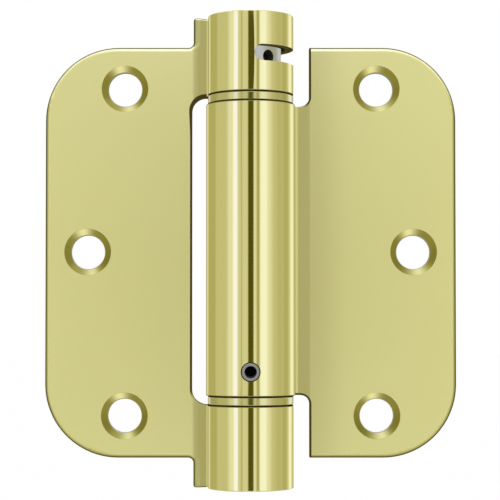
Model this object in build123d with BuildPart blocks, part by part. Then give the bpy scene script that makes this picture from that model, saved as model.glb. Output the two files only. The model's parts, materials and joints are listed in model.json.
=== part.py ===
from build123d import *
from math import acos, asin, atan2, cos, degrees, hypot, radians, sin, sqrt
import os

os.makedirs("parts", exist_ok=True)

# Adjustable spring hinge, laid flat open. Z is the pin axis, the leaves lie across X
# and their countersunk faces look along -Y. All sizes are in millimetres.

# Leaves
leaf_height = 88.9
open_width = 88.9
corner_radius = 15.875
sheet = 2.5  # thickness of the rolled sheet
closed_gap = 2.0  # between the two leaf faces when the hinge is shut
edge_round = 1.0  # outer front edges
inner_round = 0.15  # front edges beside the barrel
tab_round = 0.45  # front edges at the ends of the tabs
crease_round = 1.15  # front of the pressed crease where the sheet bends towards the barrel
crease_root = 0.3  # back of the same crease

# Screw holes
screw_hole = 7.27
sink_diameter = 10.1
sink_angle = 82.0
screw_spacing = 70.8  # between the two outer holes of a leaf
outer_screw_inset = 17.2  # from the long edge of the leaf
middle_screw_inset = 9.2

# Barrel
barrel_overhang = 6.4  # past the leaves at each end
upper_knuckle = 17.1
lower_knuckle = 17.85
end_bore = 13.4
centre_bore = 14.2
seam = 0.3  # gap where the rolled end comes back to the neck
rim_round = 0.2
frame_neck = 2.52  # from the end knuckles out to the bend in the frame leaf
door_neck = 3.1  # from the centre knuckle out to the bend in the door leaf
notch_gap = 3.1  # between the frame leaf and the centre knuckle
frame_notch_round = 3.3
door_notch_round = 1.9
shoulder_round = 1.13  # where the end knuckles' necks rise out of the leaf

# Washers
washer_thickness = 1.85
washer_float = 0.1  # free height on each side of a washer
washer_clearance = 0.1  # round the plugs
washer_round = 0.25

# Plugs inside the barrel
running_fit = 0.15  # round a plug that turns in a bore
press_slack = 0.02  # round a plug that is pressed in
end_float = 0.3  # between a plug and the next piece along the axis
plug_chamfer = 0.4
cap_thickness = 4.0
cap_recess = 0.4
cap_round = 0.8
winder_reach = 8.5  # how far the winder goes down into the centre knuckle
anchor_head = 6.4  # height of the anchor above its pin

# Slot and winder holes
slot_height = 3.5
slot_rise = 8.15  # middle of the slot above the lower face of the upper knuckle
slot_start = 16.0  # degrees to the right of the front, at the middle of the round end
slot_sweep = 122.0
winder_holes = 6
winder_hole = 2.95
winder_hole_depth = 3.4
winder_hole_rise = 7.75  # above the lower face of the upper knuckle
first_winder_hole = 36.6  # degrees to the right of the front

# Anchor pin
pin_diameter = 3.7
pin_bore = 2.6
pin_length = 14.0
pin_rise = 5.22  # above the lower face of the centre knuckle
pin_hole_clearance = 0.25  # round the pin in the wall of the centre knuckle
pin_recess = 0.1

# Torsion spring
spring_diameter = 12.6
spring_wire = 2.1
spring_coils = 18
tang_bend = 1.6  # radius of the wire's bend at the ends of the coil
tang_length = 3.5  # inside a plug
tang_clearance = 0.1

# Places that follow from the sizes above
leaf_front = closed_gap / 2
leaf_back = leaf_front + sheet
leaf_half = leaf_height / 2
leaf_ends = (leaf_half, -leaf_half)
leaf_edge = open_width / 2
end_radius = end_bore / 2 + sheet
centre_radius = centre_bore / 2 + sheet
frame_crease = end_radius + frame_neck
door_crease = centre_radius + door_neck
notch_edge = centre_radius + notch_gap
washer_space = washer_thickness + 2 * washer_float
barrel_length = leaf_height + 2 * barrel_overhang
barrel_top = barrel_length / 2
barrel_bottom = -barrel_length / 2
upper_face = barrel_top - upper_knuckle
lower_face = barrel_bottom + lower_knuckle
centre_top = upper_face - washer_space
centre_bottom = lower_face + washer_space
slot_middle = upper_face + slot_rise
holes_middle = upper_face + winder_hole_rise
pin_middle = centre_bottom + pin_rise
winder_bottom = centre_top - winder_reach
anchor_top = pin_middle + anchor_head
end_plug_radius = end_bore / 2 - running_fit
centre_plug_radius = centre_bore / 2 - running_fit
washer_bore = end_bore + 2 * washer_clearance
cap_inner = cap_recess + cap_thickness  # from the barrel end to the inner face of a cap
plug_end = cap_inner + end_float
coil_radius = (spring_diameter - spring_wire) / 2
coil_bottom = anchor_top + end_float + spring_wire / 2
coil_top = winder_bottom - end_float - spring_wire / 2
far = 2 * open_width  # longer than the hinge, for cuts that pass right through
touch = 0.01  # points closer than this are at the same place
front_lean = 40.0  # no front face of a sheet leans further than this, in degrees

front_plane = Plane.XZ.offset(-leaf_front)


# Slope of a neck whose front face leaves the leaf at the crease and runs on to the bore
def neck_slope(bore, crease):
    return asin(bore / 2 / hypot(crease, leaf_front)) - atan2(leaf_front, crease)


# How far from the axis the back face of the leaf bends
def back_crease(bore, crease):
    slope = neck_slope(bore, crease)
    return (bore / 2 + sheet - leaf_back * cos(slope)) / sin(slope)


# Vertices of a sketch that lie nearest to the given points
def corners(sketch, *points):
    return [sketch.vertices().sort_by_distance((*point, 0))[0] for point in points]


# Front edges of a folded sheet along its outline, as far as chosen says yes to their middle points
def front_edges(folded, chosen):
    front = folded.faces().filter_by(lambda face: face.normal_at().Y < -cos(radians(front_lean)))
    walls = folded.faces().filter_by(lambda face: abs(face.normal_at().Y) < touch)
    return (front.edges() & walls.edges()).filter_by(lambda edge: chosen(edge.center()))


# Folded sheet of one leaf: flat plate, bend and the neck that runs on to the bore, cut to an outline.
# The side is -1 for the left leaf and 1 for the right one; rounds lists radii and the edges they are for.
def folded_sheet(bore, crease, outline, side, rounds):
    slope = neck_slope(bore, crease)
    across, along = side * sin(slope), cos(slope)
    inner = bore / 2
    outer = inner + sheet
    front_bend = (side * crease, leaf_front)
    back_bend = (side * back_crease(bore, crease), leaf_back)
    with BuildPart() as folded:
        with BuildSketch(Plane.XY.offset(barrel_bottom)) as section:
            with BuildLine():
                Polyline(
                    (side * leaf_edge, leaf_front),
                    front_bend,
                    (inner * across, inner * along),
                    (outer * across, outer * along),
                    back_bend,
                    (side * leaf_edge, leaf_back),
                    close=True,
                )
            make_face()
            fillet(corners(section, front_bend), crease_round)
            fillet(corners(section, back_bend), crease_root)
        extrude(amount=barrel_length)
        with BuildSketch(Plane.XZ):
            add(outline)
        extrude(amount=far, both=True, mode=Mode.INTERSECT)
        for radius, chosen in rounds:
            fillet(front_edges(folded, chosen), radius)
    return folded.part


# Cross-section of a rolled knuckle, whose free end stops short of the neck
def knuckle_section(bore, crease, side):
    slope = neck_slope(bore, crease)
    inner = bore / 2
    roll_stop = roll_end(bore)
    meet = inner / cos(roll_stop)
    meet_angle = slope + roll_stop
    with BuildSketch() as section:
        Circle(inner + sheet)
        with BuildLine():
            Polyline(
                (0, 0),
                (side * inner * sin(slope), inner * cos(slope)),
                (side * meet * sin(meet_angle), meet * cos(meet_angle)),
                close=True,
            )
        make_face(mode=Mode.SUBTRACT)
        Circle(inner, mode=Mode.SUBTRACT)
    return section.sketch


# Angle between the free end of a roll and the line where its neck touches the bore
def roll_end(bore):
    return acos((bore / 2 - seam) / (bore / 2 + sheet))


# Cutter that rounds the outer rims of a rolled knuckle, from its tangent line to its free end
def rim_cutter(bore, crease, side, rims):
    slope = neck_slope(bore, crease)
    outer = bore / 2 + sheet
    start = -slope if side > 0 else slope + roll_end(bore)
    start_way = Vector(0, 1, 0).rotate(Axis.Z, degrees(start))
    rim_plane = Plane(origin=(0, 0, 0), x_dir=start_way, z_dir=start_way.cross(Vector(0, 0, 1)))
    with BuildPart() as cutter:
        with BuildSketch(rim_plane):
            for face, up in rims:
                away = (Align.MIN, Align.MIN if up > 0 else Align.MAX)
                with Locations((outer - rim_round, face - up * rim_round)):
                    Rectangle(2 * rim_round, 2 * rim_round, align=away)
                    Circle(rim_round, mode=Mode.SUBTRACT)
        revolve(axis=Axis.Z, revolution_arc=360 - degrees(roll_end(bore)))
    return cutter.part


# Direction that points out of the barrel, in degrees to the right of the front
def outward(turn):
    return Vector(sin(radians(turn)), -cos(radians(turn)), 0)


# Places of the three countersunk holes in one leaf
def screw_points(side):
    outer_x = side * (leaf_edge - outer_screw_inset)
    middle_x = side * (leaf_edge - middle_screw_inset)
    return [(outer_x, screw_spacing / 2), (middle_x, 0), (outer_x, -screw_spacing / 2)]


# Outline of the frame leaf: plate, two tabs beside the end knuckles and the notch between them
tab_edge = back_crease(end_bore, frame_crease)
with BuildSketch() as frame_outline:
    with Locations((-leaf_edge / 2, 0)):
        Rectangle(leaf_edge, leaf_height)
    with Locations((-tab_edge / 2, 0)):
        Rectangle(tab_edge, barrel_length)
    with Locations((-notch_edge / 2, (upper_face + lower_face) / 2)):
        Rectangle(notch_edge, upper_face - lower_face, mode=Mode.SUBTRACT)
    fillet(corners(frame_outline, *[(-leaf_edge, end) for end in leaf_ends]), corner_radius)
    fillet(corners(frame_outline, *[(-tab_edge, end) for end in leaf_ends]), shoulder_round)
    fillet(corners(frame_outline, (-notch_edge, upper_face), (-notch_edge, lower_face)), frame_notch_round)


# Whether a point of the frame leaf's outline is in the notch
def in_notch(point):
    return point.X > -notch_edge - touch and lower_face - touch < point.Z < upper_face + touch


# Whether a point of the frame leaf's outline is at the end of a tab
def at_tab_end(point):
    return abs(point.Z) > barrel_top - touch


frame_rounds = [
    (edge_round, lambda point: not in_notch(point) and not at_tab_end(point)),
    (tab_round, at_tab_end),
    (inner_round, in_notch),
]

# Frame leaf: folded sheet, two end knuckles and the winder slot
with BuildPart() as frame_leaf:
    add(folded_sheet(end_bore, frame_crease, frame_outline.sketch, -1, frame_rounds))
    for low, high in ((barrel_bottom, lower_face), (upper_face, barrel_top)):
        with BuildSketch(Plane.XY.offset(low)):
            add(knuckle_section(end_bore, frame_crease, -1))
        extrude(amount=high - low)
    end_rims = ((barrel_top, 1), (upper_face, -1), (lower_face, 1), (barrel_bottom, -1))
    add(rim_cutter(end_bore, frame_crease, -1, end_rims), mode=Mode.SUBTRACT)
    with BuildSketch(Plane.XZ.rotated((0, 0, slot_start - 90))):
        with Locations((end_radius - sheet / 2, slot_middle)):
            Rectangle(2 * sheet, slot_height)
    revolve(axis=Axis.Z, revolution_arc=slot_sweep, mode=Mode.SUBTRACT)
    for turn in (slot_start, slot_start + slot_sweep):
        with BuildSketch(Plane(origin=(0, 0, slot_middle), z_dir=outward(turn))):
            Circle(slot_height / 2)
        extrude(amount=far, mode=Mode.SUBTRACT)
    with Locations(front_plane):
        with Locations(*screw_points(-1)):
            CounterSinkHole(screw_hole / 2, sink_diameter / 2, counter_sink_angle=sink_angle)
frame_leaf.part.label = "frame_leaf"
export_step(frame_leaf.part, "parts/frame_leaf.step")

# Outline of the door leaf: plate and the tongue that is rolled into the centre knuckle
with BuildSketch() as door_outline:
    with Locations(((leaf_edge + door_crease) / 2, 0)):
        Rectangle(leaf_edge - door_crease, leaf_height)
    with Locations((door_crease / 2, (centre_top + centre_bottom) / 2)):
        Rectangle(door_crease, centre_top - centre_bottom)
    fillet(corners(door_outline, *[(leaf_edge, end) for end in leaf_ends]), corner_radius)
    fillet(corners(door_outline, (door_crease, centre_top), (door_crease, centre_bottom)), door_notch_round)

door_rounds = [
    (edge_round, lambda point: point.X > door_crease + touch),
    (inner_round, lambda point: point.X < door_crease + touch),
]

# Door leaf: folded sheet, the long centre knuckle and the hole for the anchor pin
with BuildPart() as door_leaf:
    add(folded_sheet(centre_bore, door_crease, door_outline.sketch, 1, door_rounds))
    with BuildSketch(Plane.XY.offset(centre_bottom)):
        add(knuckle_section(centre_bore, door_crease, 1))
    extrude(amount=centre_top - centre_bottom)
    centre_rims = ((centre_top, 1), (centre_bottom, -1))
    add(rim_cutter(centre_bore, door_crease, 1, centre_rims), mode=Mode.SUBTRACT)
    with BuildSketch(Plane(origin=(0, 0, pin_middle), z_dir=outward(0))):
        Circle(pin_diameter / 2 + pin_hole_clearance)
    extrude(amount=far, mode=Mode.SUBTRACT)
    with Locations(front_plane):
        with Locations(*screw_points(1)):
            CounterSinkHole(screw_hole / 2, sink_diameter / 2, counter_sink_angle=sink_angle)
door_leaf.part.label = "door_leaf"
export_step(door_leaf.part, "parts/door_leaf.step")


# Ring that keeps two knuckles apart, with rounded outer edges
def washer(height):
    with BuildPart() as ring:
        with BuildSketch(Plane.XY.offset(height + washer_float)):
            Circle(end_radius)
            Circle(washer_bore / 2, mode=Mode.SUBTRACT)
        extrude(amount=washer_thickness)
        fillet(ring.faces().filter_by(GeomType.CYLINDER).sort_by(SortBy.AREA)[-1].edges(), washer_round)
    return ring


upper_washer = washer(centre_top)
upper_washer.part.label = "upper_washer"
export_step(upper_washer.part, "parts/upper_washer.step")

lower_washer = washer(lower_face)
lower_washer.part.label = "lower_washer"
export_step(lower_washer.part, "parts/lower_washer.step")


# Plug pressed into the end of the barrel; up is 1 at the top and -1 at the bottom
def cap(up):
    with BuildPart() as plug:
        with BuildSketch(Plane.XY.offset(up * (barrel_top - cap_inner))):
            Circle(end_bore / 2 - press_slack)
        extrude(amount=up * cap_thickness)
        fillet(plug.edges().filter_by(GeomType.CIRCLE).sort_by(Axis.Z)[-1 if up > 0 else 0], cap_round)
    return plug


top_cap = cap(1)
top_cap.part.label = "top_cap"
export_step(top_cap.part, "parts/top_cap.step")

bottom_cap = cap(-1)
bottom_cap.part.label = "bottom_cap"
export_step(bottom_cap.part, "parts/bottom_cap.step")


# Bend and straight leg at one end of the coil; way is the wire's direction as it leaves the coil
def spring_leg(end, way, up, leg_end):
    rise = way.Z * up
    ahead = Vector(way.X, way.Y, 0).normalized()
    bend_end = end + ahead * tang_bend * (1 - rise) + Vector(0, 0, up * tang_bend * sqrt(1 - rise**2))
    TangentArc(end, bend_end, tangent=way)
    return Line(bend_end, (bend_end.X, bend_end.Y, leg_end))


# Torsion spring: left-hand coil whose bent ends stand in the winder and the anchor
with BuildPart() as torsion_spring:
    with BuildLine() as spring_path:
        coil = Helix(
            pitch=(coil_top - coil_bottom) / spring_coils,
            height=coil_top - coil_bottom,
            radius=coil_radius,
            center=(0, 0, coil_bottom),
            lefthand=True,
        )
        lower_leg = spring_leg(coil @ 0, (coil % 0) * -1, -1, anchor_top - tang_length)
        upper_leg = spring_leg(coil @ 1, coil % 1, 1, winder_bottom + tang_length)
    spring_wire_path = spring_path.wire()
    with BuildSketch(Plane(origin=spring_wire_path @ 0, z_dir=spring_wire_path % 0)):
        Circle(spring_wire / 2)
    sweep(path=spring_wire_path, is_frenet=True)
torsion_spring.part.label = "torsion_spring"
export_step(torsion_spring.part, "parts/torsion_spring.step")

# Tension winder: turns in the upper knuckle, takes the upper end of the spring
with BuildPart() as tension_winder:
    with BuildSketch(Plane.XY.offset(winder_bottom)):
        Circle(centre_plug_radius)
    extrude(amount=winder_reach)
    with BuildSketch(Plane.XY.offset(centre_top)):
        Circle(end_plug_radius)
    extrude(amount=barrel_top - plug_end - centre_top)
    chamfer(tension_winder.edges().group_by(Axis.Z)[0], plug_chamfer)
    chamfer(tension_winder.edges().group_by(Axis.Z)[-1], plug_chamfer)
    for hole in range(winder_holes):
        way = outward(first_winder_hole + hole * 360 / winder_holes)
        with BuildSketch(Plane(origin=way * end_plug_radius + Vector(0, 0, holes_middle), z_dir=way)):
            Circle(winder_hole / 2)
        extrude(amount=-winder_hole_depth, mode=Mode.SUBTRACT)
    with BuildSketch(Plane.XY.offset(winder_bottom)):
        with Locations(((upper_leg @ 1).X, (upper_leg @ 1).Y)):
            Circle(spring_wire / 2 + tang_clearance)
    extrude(amount=tang_length + tang_clearance, mode=Mode.SUBTRACT)
tension_winder.part.label = "tension_winder"
export_step(tension_winder.part, "parts/tension_winder.step")

# Spring anchor: held in the centre knuckle by its pin, turns in the lower knuckle
with BuildPart() as spring_anchor:
    with BuildSketch(Plane.XY.offset(centre_bottom)):
        Circle(centre_plug_radius)
    extrude(amount=anchor_top - centre_bottom)
    with BuildSketch(Plane.XY.offset(barrel_bottom + plug_end)):
        Circle(end_plug_radius)
    extrude(amount=centre_bottom - barrel_bottom - plug_end)
    chamfer(spring_anchor.edges().group_by(Axis.Z)[0], plug_chamfer)
    chamfer(spring_anchor.edges().group_by(Axis.Z)[-1], plug_chamfer)
    with BuildSketch(Plane(origin=(0, 0, pin_middle), z_dir=outward(0))):
        Circle(pin_diameter / 2 + press_slack)
    extrude(amount=far, both=True, mode=Mode.SUBTRACT)
    with BuildSketch(Plane.XY.offset(anchor_top)):
        with Locations(((lower_leg @ 1).X, (lower_leg @ 1).Y)):
            Circle(spring_wire / 2 + tang_clearance)
    extrude(amount=-tang_length - tang_clearance, mode=Mode.SUBTRACT)
spring_anchor.part.label = "spring_anchor"
export_step(spring_anchor.part, "parts/spring_anchor.step")

# Anchor pin: hollow, driven in from the front
with BuildPart() as anchor_pin:
    with BuildSketch(Plane(origin=(0, pin_recess - centre_radius, pin_middle), z_dir=outward(0))):
        Circle(pin_diameter / 2)
        Circle(pin_bore / 2, mode=Mode.SUBTRACT)
    extrude(amount=-pin_length)
anchor_pin.part.label = "anchor_pin"
export_step(anchor_pin.part, "parts/anchor_pin.step")
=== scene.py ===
import json
import math

import bmesh
import bpy
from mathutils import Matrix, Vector


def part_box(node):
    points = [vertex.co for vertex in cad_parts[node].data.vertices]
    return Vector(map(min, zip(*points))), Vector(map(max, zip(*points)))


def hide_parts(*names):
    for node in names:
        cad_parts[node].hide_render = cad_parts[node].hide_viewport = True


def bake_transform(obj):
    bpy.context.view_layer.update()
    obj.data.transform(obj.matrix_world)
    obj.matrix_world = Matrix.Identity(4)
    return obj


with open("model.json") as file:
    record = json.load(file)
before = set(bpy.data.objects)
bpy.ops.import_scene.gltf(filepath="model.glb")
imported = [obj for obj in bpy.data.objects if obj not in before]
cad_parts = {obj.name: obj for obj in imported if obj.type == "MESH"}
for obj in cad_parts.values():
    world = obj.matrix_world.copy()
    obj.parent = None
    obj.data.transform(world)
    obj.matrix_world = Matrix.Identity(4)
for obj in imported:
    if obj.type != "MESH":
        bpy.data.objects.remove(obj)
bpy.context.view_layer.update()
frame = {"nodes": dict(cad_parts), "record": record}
nodes = frame["nodes"]
mounts = {mount["name"]: mount for mount in frame["record"]["mounts"]}
mm = 0.001
noiseDetail = 3.0
noiseMiddle = 0.5  # a noise is as often above this as below
print("spring hinge: frame loaded,", len(nodes), "nodes")


class Wire:  # a node's output that can be used in sums
    def __init__(self, nodeTree, socket):
        self.nodeTree = nodeTree
        self.socket = socket

    def out(self, name):  # another output of the same node
        return Wire(self.nodeTree, findSocket(self.socket.node.outputs, name))

    def maths(self, operation, *values):
        return self.nodeTree.add("ShaderNodeMath", {"operation": operation}, dict(enumerate(values)))

    def greatest(self, other):
        return self.maths("MAXIMUM", self, other)

    def least(self, other):
        return self.maths("MINIMUM", self, other)

    def rise(self, low, high):  # 0 below low, 1 above high
        sockets = {"Value": self, "From Min": low, "From Max": high}
        return self.nodeTree.add("ShaderNodeMapRange", {"interpolation_type": "SMOOTHSTEP"}, sockets)

    def fall(self, low, high):  # 1 below low, 0 above high
        return 1 - self.rise(low, high)

    def __abs__(self):
        return self.maths("ABSOLUTE", self)

    def __add__(self, other):
        return self.maths("ADD", self, other)

    def __radd__(self, other):
        return self.maths("ADD", other, self)

    def __sub__(self, other):
        return self.maths("SUBTRACT", self, other)

    def __rsub__(self, other):
        return self.maths("SUBTRACT", other, self)

    def __mul__(self, other):
        return self.maths("MULTIPLY", self, other)

    def __rmul__(self, other):
        return self.maths("MULTIPLY", other, self)

    def __truediv__(self, other):
        return self.maths("DIVIDE", self, other)

    def __rtruediv__(self, other):
        return self.maths("DIVIDE", other, self)

    def __pow__(self, other):
        return self.maths("POWER", self, other)

    def __rpow__(self, other):
        return self.maths("POWER", other, self)


def findSocket(sockets, key):
    if isinstance(key, int):
        return sockets[key]
    return next(socket for socket in sockets if socket.enabled and key in (socket.name, socket.identifier))


class NodeTree:  # the nodes of one material or of the world
    def __init__(self, owner):
        owner.use_nodes = True
        self.tree = owner.node_tree
        self.tree.nodes.clear()

    def add(self, kind, settings=None, sockets=None):
        node = self.tree.nodes.new(kind)
        for key, value in (settings or {}).items():
            setattr(node, key, value)
        for key, value in (sockets or {}).items():
            target = findSocket(node.inputs, key)
            if isinstance(value, Wire):
                self.tree.links.new(value.socket, target)
            else:
                target.default_value = value
        shown = [socket for socket in node.outputs if socket.enabled]
        return Wire(self, shown[0]) if shown else None

    def objectPlace(self):
        return self.add("ShaderNodeTexCoord").out("Object")

    def split(self, vector):
        parts = self.add("ShaderNodeSeparateXYZ", {}, {"Vector": vector})
        return parts, parts.out("Y"), parts.out("Z")

    def mixColours(self, factor, first, second):
        sockets = {"Factor": factor, "A": first, "B": second}
        return self.add("ShaderNodeMix", {"data_type": "RGBA"}, sockets)

    def noise(self, place, perMetre):
        sockets = {"Vector": place, "Scale": perMetre, "Detail": noiseDetail}
        return self.add("ShaderNodeTexNoise", {}, sockets)

    def finishSurface(self, shader):
        self.add("ShaderNodeOutputMaterial", {}, {"Surface": shader})


def newMaterial(name):
    material = bpy.data.materials.new(name)
    return material, NodeTree(material)


def blendValues(mask, first, second):  # first where the mask is 0, second where it is 1
    return first + mask * (second - first)


def howFar(across, up):
    return (across * across + up * up) ** 0.5


def paintNode(nodeName, material):
    slots = nodes[nodeName].data.materials
    slots.clear()
    slots.append(material)


def addObject(name, mesh, material):
    data = bpy.data.meshes.new(name)
    mesh.to_mesh(data)
    mesh.free()
    data.materials.append(material)
    made = bpy.data.objects.new(name, data)
    bpy.context.scene.collection.objects.link(made)
    return made


# Camera, where the photograph was taken from
photoCamera = {
    "distance": 380 * mm,  # from the pin axis
    "height": -17 * mm,  # below the middle of the hinge
    "sideways": -0.14 * mm,
    "tilt": 1.6,  # degrees upward
    "lens": 126.94,  # in millimetres, as the sensor's width is
    "sensor": 36,
    "upwardShift": 0.0627,
    "clip": (0.01, 50),
}


def makeCamera(values):
    data = bpy.data.cameras.new("photoCamera")
    data.lens = values["lens"]
    data.sensor_width = values["sensor"]
    data.shift_y = values["upwardShift"]
    data.clip_start, data.clip_end = values["clip"]
    camera = bpy.data.objects.new("photoCamera", data)
    camera.location = (values["sideways"], -values["distance"], values["height"])
    camera.rotation_euler = (math.radians(90 + values["tilt"]), 0, 0)
    bpy.context.scene.collection.objects.link(camera)
    bpy.context.scene.camera = camera


makeCamera(photoCamera)
bpy.context.scene.view_settings.view_transform = "Standard"
print("spring hinge: camera set")


# Plated brass of both leaves: satin plates, polished barrel, turned countersinks, with painted shade and
# painted highlights.
# A reach says where a finish starts and ends: a distance, or how far a surface faces one way, up to 1.
leafBrass = {
    "plateColour": (0.65, 0.612, 0.218, 1),
    "deepColour": (0.63, 0.594, 0.208, 1),
    "barrelColour": (0.63, 0.59, 0.245, 1),
    "grazingTint": (0.93, 0.9, 0.65, 1),
    "plateRoughness": 0.5,
    "barrelRoughness": 0.07,
    "barrelReach": (9.68 * mm, 9.9 * mm),  # from the pin axis, where the polish ends
    "cloudsPerMetre": 45,
    "grainPerMetre": 2600,
    "grainSpread": 0.05,  # in roughness
    "grainDepth": 0.002 * mm,
    "leanColour": (0.3, 0.27, 0.075, 1),  # painted shade where the sheet leans away at its sides, underside and necks
    "leanReach": (0.05, 0.88),
    "tabReach": (44.2 * mm, 44.7 * mm),  # tabs stand past the leaf's ends from here
    "tabEnd": (46.5 * mm, 47.5 * mm),  # the upper tab's edge is polished and has a painted highlight above here
    "frameNeck": (11.9 * mm, 12.9 * mm),  # bend of the frame leaf, from the axis
    "doorNeck": (12.75 * mm, 13.05 * mm),
    "neckShade": 0.58,
    "bendReach": (12.8 * mm, 22 * mm),  # painted shade on the door leaf beside its neck, darker towards the neck
    "bendShade": 0.26,
    "frameGlint": 9.7 * mm,  # bright line of the neck beside the barrel ends here
    "doorGlint": 10.4 * mm,
    "glintFade": 0.25 * mm,
    "edgeColour": (0.75, 0.705, 0.3, 1),  # painted highlight along the upper edges, which face the light above
    "edgeReach": (0.1, 0.26),  # facing up
    "edgeRoughness": 0.26,
    "cornerColour": (0.95, 0.9, 0.44, 1),  # painted highlight, brighter round the upper corners
    "cornerShare": 0.5,  # how much facing up takes from facing sideways there
    "cornerReach": (0.02, 0.12),
    "cornerGlint": 1.2,  # how far the bright upper edge goes down round the corners
    "arrisColour": (0.07, 0.063, 0.014, 1),  # painted shade, a dark matt line along the rounded edges of the sheet
    "arrisStart": (0.12, 0.3),  # facing the front
    "arrisEnd": (0.62, 0.84),
    "cutColour": (0.06, 0.048, 0.007, 1),  # painted shade along the edges of the notches and on the wall round the pin
    "notchEdge": 12.7 * mm,  # from the axis
    "frameNotchCorner": 3.3 * mm,
    "doorNotchCorner": 1.9 * mm,
    "shearWidth": 0.44 * mm,  # painted shade, a dark line along the notches
    "shearFade": (-0.1 * mm, 0.05 * mm),
    "upperShearWidth": 0.7 * mm,  # at the top of the frame leaf's notch
    "upperShearReach": (24 * mm, 33 * mm),
    "doorShearReach": (11.3 * mm, 12.6 * mm),  # it fades along the top of the door leaf's neck
    "lowerShearReach": (0.8 * mm, 3.2 * mm),  # and at the foot of the frame leaf's notch
    "pinHoleReach": (2.12 * mm, 2.17 * mm),
    "pinHoleDepth": (9.45 * mm, 9.55 * mm),  # from the axis
    # painted shade on the walls of the winder slot
    "slotColour": (0.075, 0.065, 0.014, 1),
    "slotHeight": 41.9 * mm,  # middle of the winder slot
    "slotReach": (1.78 * mm, 1.82 * mm),
    "slotDepth": (9.05 * mm, 9.15 * mm),  # its walls end here, short of the barrel's outside
    "jointColour": (0.06, 0.048, 0.006, 1),  # painted shade along the ends of the knuckles, in the gaps beside the washers
    "jointRoughness": 0.8,
    "jointWidth": (0.1 * mm, 0.29 * mm),
    "washerGap": 0.1 * mm,  # between a washer and a knuckle
    # painted shade inside the knuckles
    "boreColour": (0.03, 0.026, 0.012, 1),
    "boreReach": (7.25 * mm, 7.5 * mm),
    "upperSink": (0.3, 0.265, 0.05, 1),  # countersinks in painted shade, the upper half, which faces down, painted lighter than the lower
    "lowerSink": (0.25, 0.22, 0.035, 1),
    "sinkRoughness": 0.34,
    "sinkReach": (4.99 * mm, 5.07 * mm),
    "sinkFacing": (0.75, 0.9),
    "upperGlint": (1.0, 0.93, 0.42, 1),  # painted highlights, two streaks in the countersinks, the upper one brighter
    "lowerGlint": (0.56, 0.52, 0.17, 1),
    "glintTilt": -14,  # degrees from upright
    "glintTurn": (-0.5, 0.5),  # from the lower streak to the upper one
    "glintSharpness": 14,
    "burrColour": (0.36, 0.34, 0.2, 1),  # round the screw holes
    "burrReach": (3.745 * mm, 3.855 * mm),
    "toolMarksPerMetre": 2400,
    "toolMarkDepth": 0.003 * mm,
}


def screwHoles():
    places = []
    for side in ("frame", "door"):
        pair = mounts[side + "_leaf_screws"]
        x, _, z = pair["pos_m"]
        half = pair["dims"]["spacing_y_mm"] * mm / 2
        places += [(x, z + half), (x, z - half)]
        x, _, z = mounts[side + "_leaf_middle_screw"]["pos_m"]
        places.append((x, z))
    return places


def jointHeights(gap):  # ends of the knuckles, from the top down
    heights = []
    for nodeName in ("upper_washer", "lower_washer"):
        low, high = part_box(nodeName)
        heights += [high.z + gap, low.z - gap]
    return heights


def pinMiddle():
    low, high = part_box("anchor_pin")
    return (low.z + high.z) / 2


def nearestScrewHole(x, z, values):  # distance to the nearest hole, and how upright the way from it is
    nearest, upright = None, None
    tilt = math.radians(values["glintTilt"])
    speck = 0.01 * mm  # so that the middle of a hole divides by more than 0
    for holeX, holeZ in screwHoles():
        across, up = x - holeX, z - holeZ
        far = howFar(across, up)
        along = (across * math.sin(tilt) + up * math.cos(tilt)) / (far + speck)
        if nearest is None:
            nearest, upright = far, along
        else:
            upright = blendValues(far.maths("LESS_THAN", far, nearest), upright, along)
            nearest = far.least(nearest)
    return nearest, upright


def pastCorner(across, up, corner):  # how far past a rounded corner, less than 0 inside it
    return howFar(across.greatest(0.0), up.greatest(0.0)) - corner


def notchDistance(x, z, values):  # how far a point of a leaf is from the notch beside it
    frameTop, doorTop, doorBottom, frameBottom = jointHeights(values["washerGap"])
    edge, corner = values["notchEdge"], values["frameNotchCorner"]
    fromMiddle = abs(z - (frameTop + frameBottom) / 2)
    straight = (frameTop - frameBottom) / 2 - corner
    frameSide = pastCorner(0 - x - (edge - corner), fromMiddle - straight, corner)
    corner = values["doorNotchCorner"]
    fromMiddle = abs(z - (doorTop + doorBottom) / 2)
    straight = (doorTop - doorBottom) / 2 + corner
    doorSide = pastCorner(x - (edge - corner), straight - fromMiddle, corner)
    return blendValues(x.maths("GREATER_THAN", x, 0.0), frameSide, doorSide)


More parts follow.
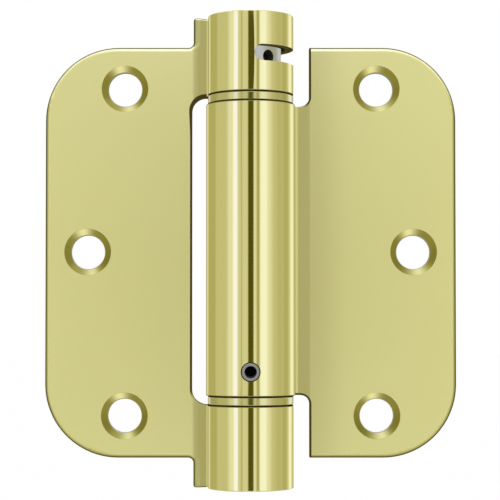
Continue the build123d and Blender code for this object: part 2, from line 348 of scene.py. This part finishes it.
def makeLeafBrass(values):
    material, tree = newMaterial("leafBrass")
    coordinates = tree.add("ShaderNodeTexCoord")
    place = coordinates.out("Object")
    x, y, z = tree.split(place)
    leanX, leanY, rising = tree.split(coordinates.out("Normal"))
    sideways = abs(leanX)
    facing = abs(leanY)  # 1 on the flat faces, 0 on the walls of the sheet
    fromAxis = howFar(x, y)
    plate = fromAxis.rise(*values["barrelReach"])
    onFrame = x.maths("LESS_THAN", x, 0.0)

    holeDistance, upright = nearestScrewHole(x, z, values)
    inHole = holeDistance.fall(*values["sinkReach"])
    sink = inHole * facing.fall(*values["sinkFacing"])
    burr = inHole * holeDistance.fall(*values["burrReach"])
    sheet = plate * (1 - sink)

    # Painted shade on the necks and the leaning edges, painted highlights on the upper edges and corners
    # of the sheet
    tab = abs(z).rise(*values["tabReach"])
    frameNeck = tab.greatest(fromAxis.fall(*values["frameNeck"]))
    neck = blendValues(onFrame, fromAxis.fall(*values["doorNeck"]), frameNeck)
    tabRoot = onFrame * frameNeck * z.fall(*values["tabEnd"])
    # edge: rounded edges facing up, polished and with a painted highlight
    edge = rising.rise(*values["edgeReach"]) * (1 - tabRoot)
    corner = (sideways - rising * values["cornerShare"]).rise(*values["cornerReach"])
    # bend: painted shade on the door leaf beside its neck
    bend = x.fall(*values["bendReach"]) * (1 - onFrame)
    # painted shade where the sheet faces sideways or down, on the necks and beside the door leaf's neck
    away = sideways - rising.greatest(0.0) * values["cornerGlint"]
    paintedShade = away.greatest(0 - rising).rise(*values["leanReach"])
    paintedShade = paintedShade.greatest(neck * values["neckShade"] * (1 - edge))
    paintedShade = paintedShade.greatest(bend * values["bendShade"])
    glintEnd = blendValues(onFrame, values["doorGlint"], values["frameGlint"])
    paintedShade = paintedShade * sheet * (fromAxis - glintEnd).rise(0.0, values["glintFade"])
    # painted shade along the rounded edges of the sheet
    arris = sheet * facing.rise(*values["arrisStart"]) * facing.fall(*values["arrisEnd"])

    # Painted shade along the notches, in the slot, round the pin hole, along the ends of the knuckles and
    # inside them
    # painted shade along the notches and round the pin hole
    upperPart = z.rise(*values["upperShearReach"]) * onFrame
    shearWidth = blendValues(upperPart, values["shearWidth"], values["upperShearWidth"])
    notchShade = sheet * (notchDistance(x, z, values) - shearWidth).fall(*values["shearFade"])
    notchFoot = jointHeights(values["washerGap"])[-1]
    frameFade = (z - notchFoot).rise(*values["lowerShearReach"])
    doorFade = x.rise(*values["doorShearReach"]).greatest(z.maths("LESS_THAN", z, 0.0))
    notchShade = notchShade * blendValues(onFrame, doorFade, frameFade)
    bore = fromAxis.fall(*values["boreReach"])
    slot = abs(z - values["slotHeight"]).fall(*values["slotReach"]) * fromAxis.fall(*values["slotDepth"])
    pin = howFar(x, z - pinMiddle()).fall(*values["pinHoleReach"])
    pin = pin * fromAxis.fall(*values["pinHoleDepth"])
    joint = None
    for height in jointHeights(values["washerGap"]):
        near = abs(z - height).fall(*values["jointWidth"])
        joint = near if joint is None else near.greatest(joint)
    joint = joint * (1 - plate)

    clouds = tree.noise(place, values["cloudsPerMetre"])
    grain = tree.noise(place, values["grainPerMetre"])
    # painted shade and painted highlights in the countersinks, with the burr round each hole
    upper = upright.rise(*values["glintTurn"])
    sinkShadeAndHighlight = tree.mixColours(upper, values["lowerSink"], values["upperSink"])
    shine = tree.mixColours(upper, values["lowerGlint"], values["upperGlint"])
    sinkShadeAndHighlight = tree.mixColours(abs(upright) ** values["glintSharpness"], sinkShadeAndHighlight, shine)
    sinkShadeAndHighlight = tree.mixColours(burr, sinkShadeAndHighlight, values["burrColour"])
    colour = tree.mixColours(clouds, values["plateColour"], values["deepColour"])
    colour = tree.mixColours(plate, values["barrelColour"], colour)
    for mask, paint in (
        (paintedShade, values["leanColour"]),
        (edge * sheet, values["edgeColour"]),
        (edge * sheet * corner, values["cornerColour"]),
        (sink, sinkShadeAndHighlight),
        (arris, values["arrisColour"]),
        (notchShade.greatest(pin), values["cutColour"]),
        (slot, values["slotColour"]),
        (joint, values["jointColour"]),
        (bore, values["boreColour"]),
    ):
        colour = tree.mixColours(mask, colour, paint)

    satin, polish = values["plateRoughness"], values["barrelRoughness"]
    roughness = blendValues(plate, polish, satin)
    roughness = roughness + edge * sheet * (values["edgeRoughness"] - satin)
    roughness = roughness + sink * (values["sinkRoughness"] - satin)
    roughness = roughness + slot.greatest(joint) * (values["jointRoughness"] - polish)
    roughness = roughness + (grain - noiseMiddle) * values["grainSpread"] * plate
    marks = holeDistance * (values["toolMarksPerMetre"] * 2 * math.pi)
    marks = marks.maths("SINE", marks)
    height = grain * values["grainDepth"] * sheet + marks * values["toolMarkDepth"] * sink
    bumpy = tree.add("ShaderNodeBump", {}, {"Strength": 1.0, "Distance": 1.0, "Height": height})
    matt = arris.greatest(joint.greatest(bore))
    tree.finishSurface(tree.add("ShaderNodeBsdfPrincipled", {}, {
        "Base Color": colour,
        "Metallic": 1 - matt,
        "Roughness": roughness,
        "Specular IOR Level": 0.0,
        "Normal": bumpy,
        "Specular Tint": values["grazingTint"],
    }))
    return material


leafMaterial = makeLeafBrass(leafBrass)
for nodeName in ("frame_leaf", "door_leaf"):
    paintNode(nodeName, leafMaterial)
print("spring hinge: leaves finished")


# Plain turned metals of the smaller pieces
turnedMarks = {
    "stretch": (0.08, 0.08, 1),  # long marks round the axis
    "blotchSize": 8,  # times the size of the marks
}
washerBrass = {
    "colour": (0.53, 0.5, 0.195, 1),
    "deepColour": (0.49, 0.46, 0.178, 1),
    "shadeColour": (0.06, 0.048, 0.006, 1),  # painted shade along the rims
    "roughness": 0.14,
    "ringsPerMetre": 2400,
    "ringSpread": 0.08,
    "rimReach": (0.66 * mm, 0.84 * mm),  # from the middle of a washer
}
capBrass = {
    "colour": (0.6, 0.57, 0.235, 1),
    "deepColour": (0.52, 0.49, 0.19, 1),
    "roughness": 0.16,
    "ringsPerMetre": 1600,
    "ringSpread": 0.05,
}
winderSteel = {
    "colour": (0.48, 0.485, 0.385, 1),
    "deepColour": (0.41, 0.415, 0.33, 1),
    "shadeColour": (0.08, 0.077, 0.06, 1),  # painted shade in the winder holes and off the band behind the slot
    "roughness": 0.4,
    "ringsPerMetre": 3000,
    "ringSpread": 0.08,
    "holeReach": (6.2 * mm, 6.45 * mm),  # from the axis
    "holeBand": (39.8 * mm, 43.2 * mm),
    "greaseReach": (2.6 * mm, 3.2 * mm),  # from the middle of the slot
}
pinSteel = {
    "colour": (0.37, 0.375, 0.31, 1),
    "deepColour": (0.31, 0.315, 0.255, 1),
    "shadeColour": (0.03, 0.032, 0.028, 1),  # inside the pin
    "roughness": 0.38,
    "ringsPerMetre": 3000,
    "ringSpread": 0.06,
    "boreReach": (1.28 * mm, 1.34 * mm),
}
springSteel = {
    "colour": (0.2, 0.2, 0.21, 1),
    "deepColour": (0.11, 0.11, 0.12, 1),
    "roughness": 0.34,
    "ringsPerMetre": 1200,
    "ringSpread": 0.1,
}


def washerRims(x, y, z):
    near = None
    for nodeName in ("upper_washer", "lower_washer"):
        low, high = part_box(nodeName)
        away = abs(z - (low.z + high.z) / 2)
        near = away if near is None else away.least(near)
    return near.rise(*washerBrass["rimReach"])


def winderHoles(x, y, z):
    low, high = winderSteel["holeBand"]
    inBand = z.maths("GREATER_THAN", z, low) * z.maths("LESS_THAN", z, high)
    hole = howFar(x, y).fall(*winderSteel["holeReach"]) * inBand
    return hole.greatest(abs(z - leafBrass["slotHeight"]).rise(*winderSteel["greaseReach"]))


def pinBore(x, y, z):
    return howFar(x, z - pinMiddle()).fall(*pinSteel["boreReach"])


def makeTurnedMetal(name, values, shade=None):
    material, tree = newMaterial(name)
    place = tree.objectPlace()
    sockets = {0: place, 1: turnedMarks["stretch"]}
    stretched = tree.add("ShaderNodeVectorMath", {"operation": "MULTIPLY"}, sockets)
    rings = tree.noise(stretched, values["ringsPerMetre"])
    blotches = tree.noise(place, values["ringsPerMetre"] / turnedMarks["blotchSize"])
    colour = tree.mixColours(blotches, values["colour"], values["deepColour"])
    metallic = 1.0
    if shade:
        shaded = shade(*tree.split(place))
        colour = tree.mixColours(shaded, colour, values["shadeColour"])
        metallic = 1 - shaded  # painted shade is matt
    tree.finishSurface(tree.add("ShaderNodeBsdfPrincipled", {}, {
        "Base Color": colour,
        "Metallic": metallic,
        "Roughness": values["roughness"] + (rings - noiseMiddle) * values["ringSpread"],
        "Specular IOR Level": 0.0,
    }))
    return material


washerMaterial = makeTurnedMetal("washerBrass", washerBrass, washerRims)
capMaterial = makeTurnedMetal("capBrass", capBrass)
winderMaterial = makeTurnedMetal("winderSteel", winderSteel, winderHoles)
pinMaterial = makeTurnedMetal("pinSteel", pinSteel, pinBore)
springMaterial = makeTurnedMetal("springSteel", springSteel)
for nodeName, material in (
    ("upper_washer", washerMaterial),
    ("lower_washer", washerMaterial),
    ("top_cap", capMaterial),
    ("bottom_cap", capMaterial),
    ("tension_winder", winderMaterial),
    ("spring_anchor", winderMaterial),
    ("anchor_pin", pinMaterial),
):
    paintNode(nodeName, material)
print("spring hinge: small pieces finished")


# Torsion spring: the coil that twists between the anchor and the winder
torsionSpring = {
    "wire": 2.1 * mm,
    "coils": 18,
    "bend": 1.6 * mm,  # radius where the wire turns up or down into a plug
    "leg": 3.5 * mm,  # straight end inside a plug
    "endFloat": 0.3 * mm,  # between the coil and the plugs
    "stepsPerCoil": 40,
    "stepsPerBend": 8,
    "sides": 14,
}


def springRoute(values):
    low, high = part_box("torsion_spring")
    wire = values["wire"]
    radius = (high.x - low.x - wire) / 2
    bottom = low.z + values["leg"] + values["endFloat"] + wire / 2
    top = high.z - values["leg"] - values["endFloat"] - wire / 2
    steps = values["coils"] * values["stepsPerCoil"]
    coil = []
    for step in range(steps + 1):
        turn = -2 * math.pi * values["coils"] * step / steps  # left-hand coil
        height = bottom + (top - bottom) * step / steps
        coil.append(Vector((radius * math.cos(turn), radius * math.sin(turn), height)))
    lowerEnd = springEnd(coil[0], coil[0] - coil[1], -1, low.z, values)
    upperEnd = springEnd(coil[-1], coil[-1] - coil[-2], 1, high.z, values)
    return lowerEnd[::-1] + coil + upperEnd


def springEnd(start, way, up, legEnd, values):
    bend, steps = values["bend"], values["stepsPerBend"]
    ahead = Vector((way.x, way.y, 0)).normalized()
    rise = Vector((0, 0, up))
    points = []
    for step in range(1, steps + 1):
        turn = math.pi / 2 * step / steps
        points.append(start + ahead * bend * math.sin(turn) + rise * bend * (1 - math.cos(turn)))
    points.append(Vector((points[-1].x, points[-1].y, legEnd)))
    return points


def makeSpring(values):
    route = springRoute(values)
    mesh = bmesh.new()
    rings = []
    side = None
    for number, point in enumerate(route):
        before, after = route[max(number - 1, 0)], route[min(number + 1, len(route) - 1)]
        way = (after - before).normalized()
        if side is None:
            side = way.orthogonal()
        side = (side - way * side.dot(way)).normalized()  # carried along without twisting
        across = way.cross(side)
        ring = []
        for corner in range(values["sides"]):
            angle = 2 * math.pi * corner / values["sides"]
            offset = side * math.cos(angle) + across * math.sin(angle)
            ring.append(mesh.verts.new(point + offset * values["wire"] / 2))
        rings.append(ring)
    for ring, nextRing in zip(rings, rings[1:]):
        for corner in range(values["sides"]):
            following = (corner + 1) % values["sides"]
            mesh.faces.new((ring[corner], ring[following], nextRing[following], nextRing[corner]))
    mesh.faces.new(rings[0][::-1])
    mesh.faces.new(rings[-1])
    bmesh.ops.recalc_face_normals(mesh, faces=mesh.faces)
    for face in mesh.faces:
        face.smooth = len(face.verts) == 4  # the two ends stay flat
    return addObject("torsionSpring", mesh, springMaterial)


spring = makeSpring(torsionSpring)
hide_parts("torsion_spring")
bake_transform(spring)
for piece in (*nodes.values(), spring):
    piece.visible_glossy = False  # the polished barrel mirrors the tent alone
print("spring hinge: spring wound,", len(spring.data.polygons), "faces")


# Light tent round the hinge: plain cloth with soft panels and dark strips, seen only in the metal
lightTent = {
    "radius": 150 * mm,
    "top": 300 * mm,
    "floor": -250 * mm,
    "sides": 96,
    "clothLevel": 0.86,
    "frontLevel": 2.2,  # above and below the panels, towards the camera and behind
    "frontReach": (5, 28),  # degrees
    "topLevel": 1.5,
    "upperGlow": (120 * mm, 240 * mm),
    "panels": [  # middle and half width in degrees round the axis from the camera, soft edge, brightness
        (0, 26, 10, 1.0),
        (-118, 13, 10, 0.68),
        (-147, 4, 7, 1.05),
        (-48, 5, 14, 1.2),
        (-39, 3.5, 5, 1.5),
        (-23.5, 1, 2.5, 0.72),
        (10, 2, 3, 1.15),
        (0.4, 5, 3.8, 0.12),
        (19, 1, 4.5, 0.58),
        (40, 5, 18, 1.2),
        (33, 6, 6, 1.47),
        (80, 3, 14, 0.76),
        (101, 4, 10, 0.68),
        (131, 4, 13, 1.42),
        (180, 17, 8, 0.15),
        (-180, 17, 8, 0.15),
    ],
    "coolPanel": (-38, 2, 4, 0.8),  # its last number is extra blue
    "panelTop": (75 * mm, 95 * mm),
    "panelBottom": (-80 * mm, -65 * mm),
    "greenShift": 0.07,  # how much more green falls off in the shade
    "lowerFade": (-170 * mm, -90 * mm),
    "shadeLevel": 0.85,  # card below the hinge
    "cardSides": 64,
    "cardLift": 5 * mm,  # above the floor
}


def nearPanel(turn, middle, half, soft):
    return abs(turn - middle).fall(half, half + soft)


def makeTentLight(values):
    material, tree = newMaterial("tentLight")
    x, y, z = tree.split(tree.objectPlace())
    turn = x.maths("ARCTAN2", x, 0 - y) * (180 / math.pi)  # degrees from the camera
    bands = values["clothLevel"]
    for *place, brightness in values["panels"]:
        bands = blendValues(nearPanel(turn, *place), bands, brightness)
    panel = z.rise(*values["panelBottom"]) * z.fall(*values["panelTop"])
    fromFront = abs(turn)
    front = fromFront.least(180 - fromFront).fall(*values["frontReach"])
    cloth = blendValues(front, values["clothLevel"], values["frontLevel"])
    level = blendValues(panel, cloth, bands)
    level = blendValues(z.rise(*values["upperGlow"]), level, values["topLevel"])
    level = blendValues(z.rise(*values["lowerFade"]), values["shadeLevel"], level)
    *place, extra = values["coolPanel"]
    blue = level * level + nearPanel(turn, *place) * panel * extra  # lamps cool, cards warm
    green = level * (1 - values["greenShift"] + level * values["greenShift"])
    light = tree.add("ShaderNodeCombineColor", {}, {0: level, 1: green, 2: blue})
    tree.finishSurface(tree.add("ShaderNodeEmission", {}, {"Color": light, "Strength": 1.0}))
    return material


def makeTent(values):
    mesh = bmesh.new()
    steps = values["sides"]
    lower, upper = [], []
    for step in range(steps):
        turn = 2 * math.pi * step / steps
        across = (values["radius"] * math.cos(turn), values["radius"] * math.sin(turn))
        lower.append(mesh.verts.new((*across, values["floor"])))
        upper.append(mesh.verts.new((*across, values["top"])))
    for step in range(steps):
        following = (step + 1) % steps
        mesh.faces.new((lower[step], upper[step], upper[following], lower[following]))
    mesh.faces.new(upper)
    tent = addObject("lightTent", mesh, makeTentLight(values))
    tent.visible_camera = False


def makeShadeCard(values):
    material, tree = newMaterial("shadeCard")
    tree.finishSurface(tree.add("ShaderNodeEmission", {}, {"Strength": values["shadeLevel"]}))
    bpy.ops.mesh.primitive_circle_add(
        vertices=values["cardSides"], radius=values["radius"], fill_type="NGON",
        location=(0, 0, values["floor"] + values["cardLift"]))
    card = bpy.context.object
    card.name = "shadeCard"
    card.data.materials.append(material)
    card.visible_camera = False
    card.visible_diffuse = False
    card.visible_shadow = False


# White floor and white surroundings
whiteStudio = {
    "floorColour": (0.9, 0.9, 0.9, 1),
    "mottleColour": (0.92, 0.92, 0.92, 1),
    "mottlePerMetre": 3,
    "floorSize": 40,
    "glowShare": 0.94,  # how much of the floor's white comes from its own glow
}


def makeFloor(values, height):
    material, tree = newMaterial("paleFloor")
    path = tree.add("ShaderNodeLightPath")
    seen = path + path.out("Is Glossy Ray") + path.out("Is Transmission Ray")
    mottle = tree.noise(tree.objectPlace(), values["mottlePerMetre"])
    white = tree.mixColours(mottle, values["floorColour"], values["mottleColour"])
    matt = tree.add("ShaderNodeBsdfDiffuse", {}, {"Color": white})
    glow = tree.add("ShaderNodeEmission", {}, {"Color": (1, 1, 1, 1), "Strength": 1.0})
    share = seen.least(1.0) * values["glowShare"]
    tree.finishSurface(tree.add("ShaderNodeMixShader", {}, {"Fac": share, 1: matt, 2: glow}))
    bpy.ops.mesh.primitive_plane_add(size=values["floorSize"], location=(0, 0, height))
    floor = bpy.context.object
    floor.name = "paleFloor"
    floor.data.materials.append(material)


def makeWorld():
    world = bpy.data.worlds.new("whiteSurround")
    bpy.context.scene.world = world
    tree = NodeTree(world)
    light = tree.add("ShaderNodeBackground", {}, {"Color": (1, 1, 1, 1), "Strength": 1.0})
    tree.add("ShaderNodeOutputWorld", {}, {"Surface": light})


makeTent(lightTent)
makeShadeCard(lightTent)
makeFloor(whiteStudio, lightTent["floor"])
makeWorld()
print("spring hinge: studio lit")
